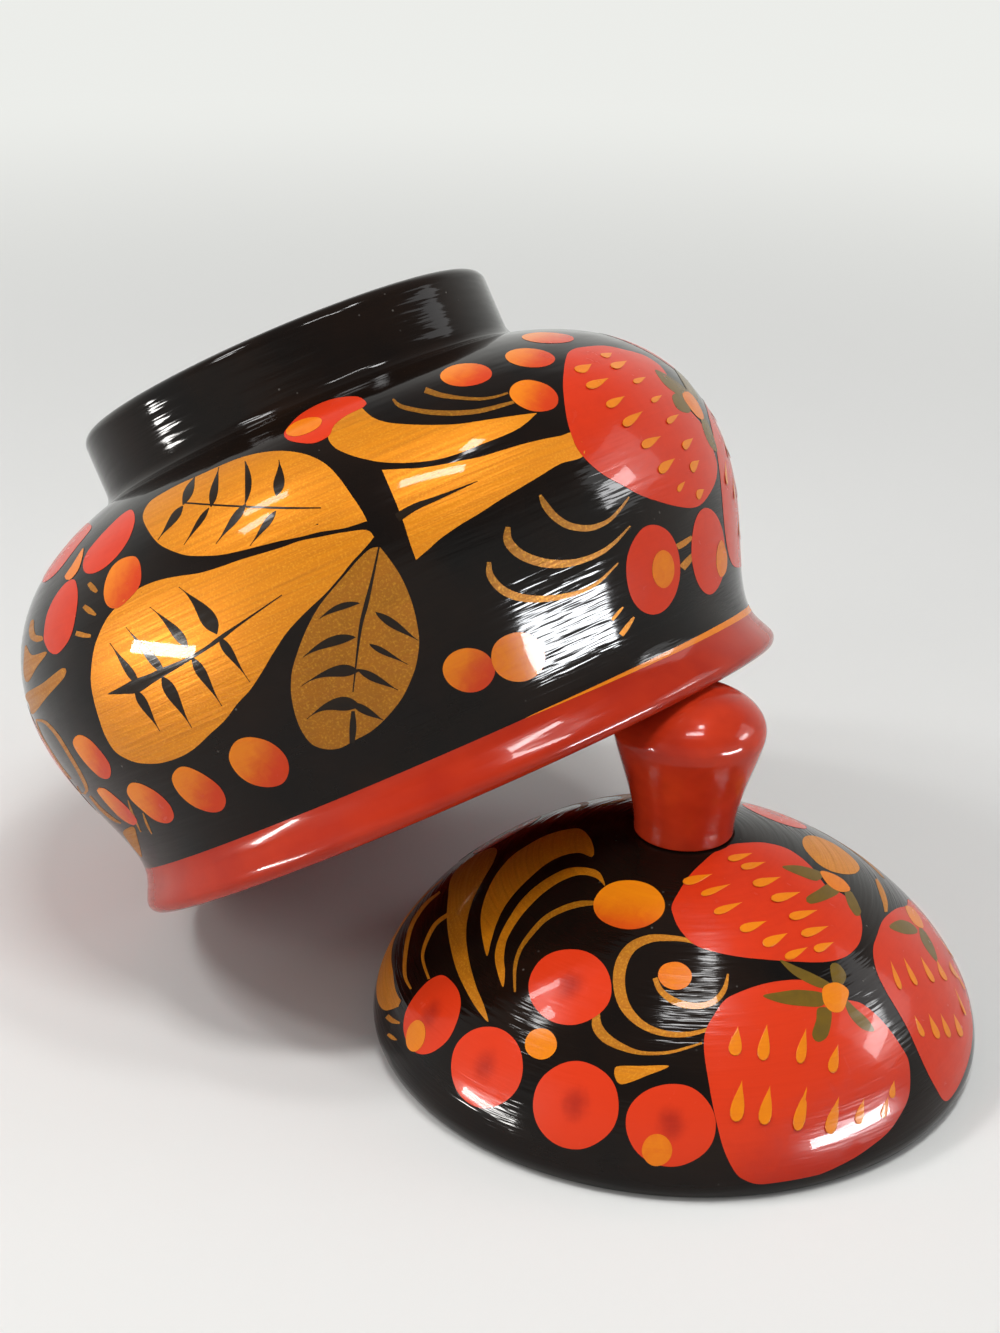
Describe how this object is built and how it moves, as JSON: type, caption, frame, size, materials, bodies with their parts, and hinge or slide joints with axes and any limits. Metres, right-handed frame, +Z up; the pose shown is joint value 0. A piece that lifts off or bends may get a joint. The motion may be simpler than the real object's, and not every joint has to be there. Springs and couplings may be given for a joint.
{
  "type": "lidded jar",
  "caption": "Turned, lacquered wooden jar with a round belly, foot ring and flared lip, tipped mouth down on the knob of its domed lid, which lies beside it.",
  "frame": {"origin": "on the table, under the middle of the box round the jar and its lid", "axes": "+Z up; the lid lies flat on its seat ring, whose face points along -Z; the jar leans towards -X and +Y"},
  "size_m": [0.1808, 0.1696, 0.1303],
  "materials": {
    "body_lacquer": "black lacquer with gold, red and orange painting, glossy",
    "lid_lacquer": "black lacquer with gold, red and orange painting, glossy",
    "knob_lacquer": "red lacquer, glossy"
  },
  "bodies": {
    "lid": {"lid": "lid_lacquer", "knob": "knob_lacquer"},
    "jar": {"jar_body": "body_lacquer"}
  },
  "joints": [
    {"name": "jar_lift", "type": "slide", "parent": "lid", "child": "jar", "axis": [0, 0, 1], "range_m": [0, 0.15]}
  ]
}
